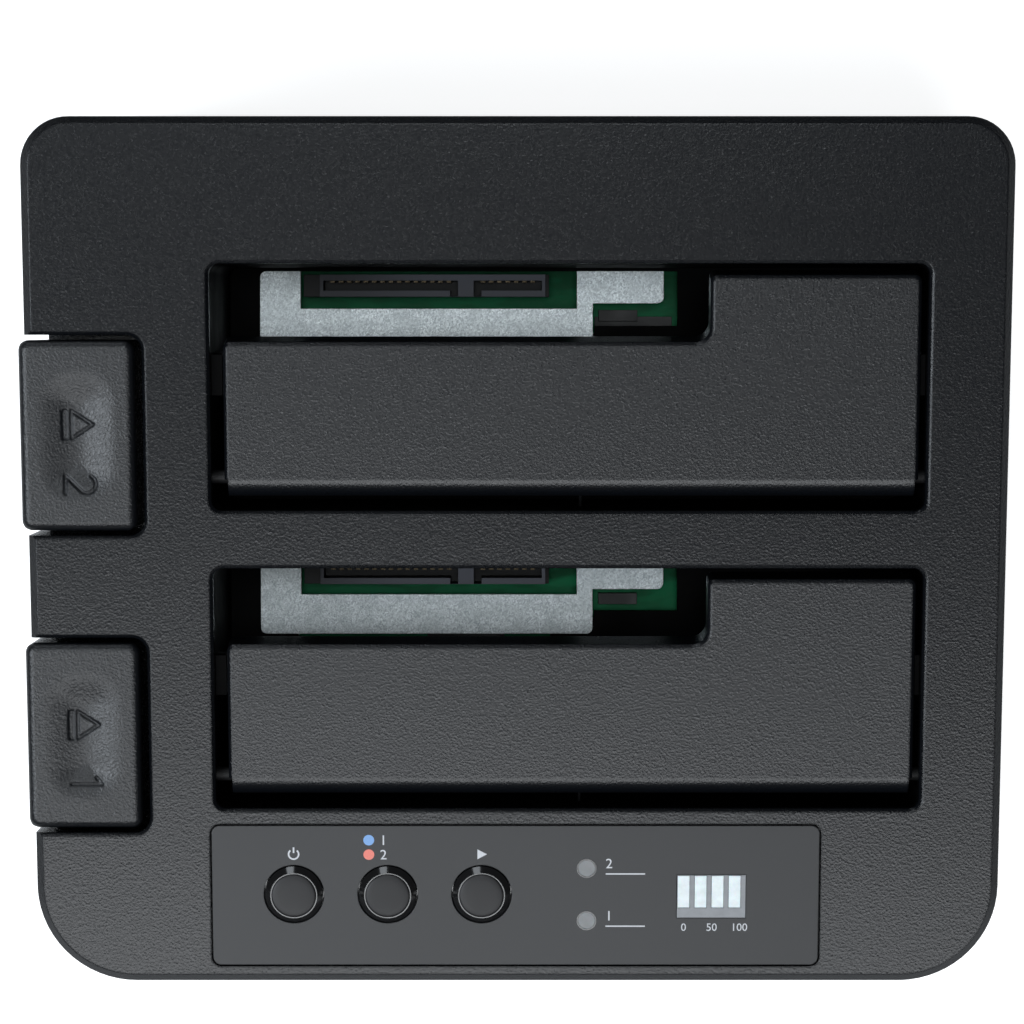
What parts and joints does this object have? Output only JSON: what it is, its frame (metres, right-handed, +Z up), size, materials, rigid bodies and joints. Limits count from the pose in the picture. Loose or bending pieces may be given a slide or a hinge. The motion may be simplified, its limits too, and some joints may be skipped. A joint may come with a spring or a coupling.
{
  "type": "drive duplicator",
  "caption": "Desktop dock that holds and copies bare drives in sprung-flap bays, with eject buttons at the side and a control panel in its sloping top.",
  "frame": {"origin": "middle of the underside's bounding box, on the surface that the feet stand on", "axes": "+Z up, +X to the right along the bays, +Y to the rear, where the ports are"},
  "size_m": [0.1424, 0.1264, 0.0638],
  "materials": {
    "housing_black": "fine grained moulded ABS, matte",
    "frame_black": "smooth moulded ABS",
    "panel_satin": "satin hard-coated panel with white print",
    "key_black": "glossy bevel and satin cap",
    "window_grey": "diffusing smoked window",
    "bar_white": "translucent white light bar",
    "lens_grey": "translucent grey light pipe",
    "board_green": "solder mask on a glass-fibre board",
    "chip_black": "moulded epoxy",
    "connector_black": "glass-filled connector plastic",
    "insert_blue": "blue connector plastic",
    "contact_gold": "gold-plated contact",
    "zinc_plate": "zinc-plated sheet steel, mottled",
    "pin_steel": "ground steel",
    "spring_steel": "spring wire",
    "port_metal": "nickel-plated connector shell",
    "foot_rubber": "soft rubber"
  },
  "bodies": {
    "root": {"top_cover": "housing_black", "base_tray": "housing_black", "rubber_feet": "foot_rubber", "main_board": "board_green", "board_chips": "chip_black", "power_jack": "connector_black", "jack_pin": "port_metal", "usb_shell": "port_metal", "usb_insert": "insert_blue", "esata_shell": "port_metal", "esata_insert": "connector_black", "control_panel": "panel_satin", "panel_board": "board_green", "key_switches": "chip_black", "status_lamps": "lens_grey", "progress_window": "window_grey", "progress_bars": "bar_white", "status_lens_1": "lens_grey", "status_lens_2": "lens_grey", "bay_frame_1": "frame_black", "flap_rod_1": "pin_steel", "flap_spring_1": "spring_steel", "eject_spring_1": "spring_steel", "lever_pin_1": "pin_steel", "drive_socket_1": "connector_black", "socket_contacts_1": "contact_gold", "bay_frame_2": "frame_black", "flap_rod_2": "pin_steel", "flap_spring_2": "spring_steel", "eject_spring_2": "spring_steel", "lever_pin_2": "pin_steel", "drive_socket_2": "connector_black", "socket_contacts_2": "contact_gold"},
    "flap_1": {"drive_flap_1": "housing_black"},
    "eject_button_1": {"eject_button_1": "housing_black"},
    "eject_lever_1": {"eject_lever_1": "frame_black"},
    "ejector_1": {"ejector_plate_1": "zinc_plate"},
    "flap_2": {"drive_flap_2": "housing_black"},
    "eject_button_2": {"eject_button_2": "housing_black"},
    "eject_lever_2": {"eject_lever_2": "frame_black"},
    "ejector_2": {"ejector_plate_2": "zinc_plate"},
    "power_button": {"power_button": "key_black"},
    "mode_button": {"mode_button": "key_black"},
    "start_button": {"start_button": "key_black"}
  },
  "joints": [
    {"name": "flap_1_swing", "type": "hinge", "parent": "root", "child": "flap_1", "pos_m": [-0.04188, -0.03225, 0.04584], "axis": [-1, 0, 0], "range_deg": [0, 98], "stiffness_Nm_per_rad": 0.004, "springref_deg": -57.3, "deforming": ["flap_spring_1"]},
    {"name": "eject_button_1_press", "type": "slide", "parent": "root", "child": "eject_button_1", "axis": [0, 0, -1], "range_m": [0, 0.0045], "stiffness_N_per_m": 400, "springref_m": -0.005, "deforming": ["eject_spring_1"]},
    {"name": "eject_lever_1_rock", "type": "hinge", "parent": "root", "child": "eject_lever_1", "pos_m": [-0.04238, -0.01655, 0.011], "axis": [0, -1, 0], "range_deg": [0, 13.5]},
    {"name": "ejector_1_lift", "type": "slide", "parent": "root", "child": "ejector_1", "axis": [0, 0, 1], "range_m": [0, 0.003]},
    {"name": "flap_2_swing", "type": "hinge", "parent": "root", "child": "flap_2", "pos_m": [-0.04188, 0.01175, 0.05262], "axis": [-1, 0, 0], "range_deg": [0, 98], "stiffness_Nm_per_rad": 0.004, "springref_deg": -57.3, "deforming": ["flap_spring_2"]},
    {"name": "eject_button_2_press", "type": "slide", "parent": "root", "child": "eject_button_2", "axis": [0, 0, -1], "range_m": [0, 0.0045], "stiffness_N_per_m": 400, "springref_m": -0.005, "deforming": ["eject_spring_2"]},
    {"name": "eject_lever_2_rock", "type": "hinge", "parent": "root", "child": "eject_lever_2", "pos_m": [-0.04238, 0.02745, 0.011], "axis": [0, -1, 0], "range_deg": [0, 13.5]},
    {"name": "ejector_2_lift", "type": "slide", "parent": "root", "child": "ejector_2", "axis": [0, 0, 1], "range_m": [0, 0.003]},
    {"name": "power_button_press", "type": "slide", "parent": "root", "child": "power_button", "axis": [0, 0.1523, -0.9883], "range_m": [0, 0.0005], "stiffness_N_per_m": 1000, "springref_m": -0.0003},
    {"name": "mode_button_press", "type": "slide", "parent": "root", "child": "mode_button", "axis": [0, 0.1523, -0.9883], "range_m": [0, 0.0005], "stiffness_N_per_m": 1000, "springref_m": -0.0003},
    {"name": "start_button_press", "type": "slide", "parent": "root", "child": "start_button", "axis": [0, 0.1523, -0.9883], "range_m": [0, 0.0005], "stiffness_N_per_m": 1000, "springref_m": -0.0003}
  ],
  "couplings": [
    {"joint": "eject_lever_1_rock", "follows": "eject_button_1_press", "rad_per_m": 52.083},
    {"joint": "ejector_1_lift", "follows": "eject_button_1_press", "ratio": 0.6667},
    {"joint": "eject_lever_2_rock", "follows": "eject_button_2_press", "rad_per_m": 52.083},
    {"joint": "ejector_2_lift", "follows": "eject_button_2_press", "ratio": 0.6667}
  ]
}
